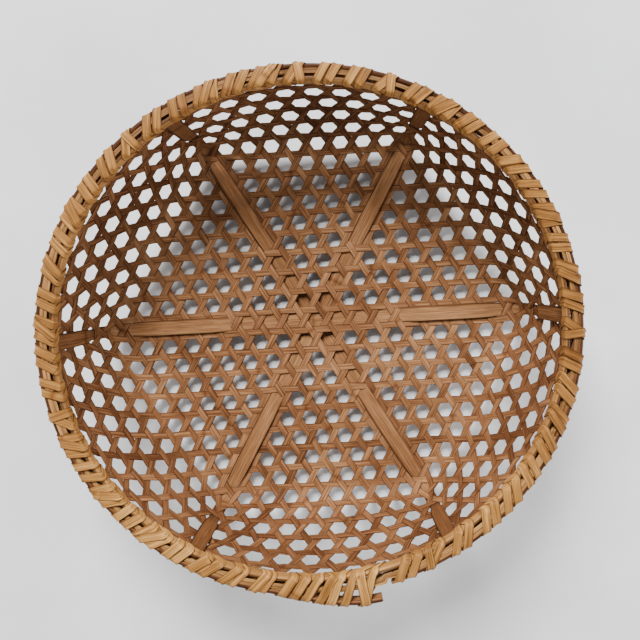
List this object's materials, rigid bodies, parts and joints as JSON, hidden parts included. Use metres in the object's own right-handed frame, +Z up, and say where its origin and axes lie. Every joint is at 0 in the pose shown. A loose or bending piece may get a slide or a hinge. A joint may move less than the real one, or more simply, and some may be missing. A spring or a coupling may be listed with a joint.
{
  "type": "bamboo harvest basket",
  "caption": "Shallow round bamboo basket in open hexagonal weave, with bars crossing under its base and a hoop rim bound with split bamboo",
  "frame": {"origin": "middle of the basket under its lowest bar, on the surface that it stands on", "axes": "+Z up through the open mouth, +X along the bar that lies right under the weave, +Y level across the basket"},
  "size_m": [0.4872, 0.4898, 0.1303],
  "materials": {
    "weave": "aged split bamboo, warm brown, slight sheen",
    "bars": "split bamboo, lengthwise grain, satin",
    "inner_hoop": "split bamboo, satin",
    "outer_hoop": "bamboo skin side, reddish brown, satin",
    "splints": "split bamboo, rough edges",
    "binding": "split bamboo, golden tan, satin"
  },
  "bodies": {
    "root": {"strip_pair_01": "weave", "strip_pair_02": "weave", "strip_pair_03": "weave", "strip_pair_04": "weave", "strip_pair_05": "weave", "strip_pair_06": "weave", "strip_pair_07": "weave", "strip_pair_08": "weave", "strip_pair_09": "weave", "strip_pair_10": "weave", "strip_pair_11": "weave", "strip_pair_12": "weave", "strip_pair_13": "weave", "strip_pair_14": "weave", "strip_pair_15": "weave", "strip_pair_16": "weave", "strip_pair_17": "weave", "strip_pair_18": "weave", "strip_pair_19": "weave", "strip_pair_20": "weave", "strip_pair_21": "weave", "strip_pair_22": "weave", "strip_pair_23": "weave", "strip_pair_24": "weave", "strip_pair_25": "weave", "strip_pair_26": "weave", "strip_pair_27": "weave", "wall_strip_1": "weave", "wall_strip_2": "weave", "wall_strip_3": "weave", "wall_strip_4": "weave", "wall_strip_5": "weave", "bar_1": "bars", "bar_2": "bars", "bar_3": "bars", "inner_hoop": "inner_hoop", "outer_hoop": "outer_hoop", "filler_splint_inner": "splints", "filler_splint_outer": "splints", "rim_binding_1": "binding", "rim_binding_2": "binding", "rim_binding_3": "binding", "rim_binding_4": "binding", "rim_binding_5": "binding", "rim_binding_6": "binding"}
  },
  "joints": []
}
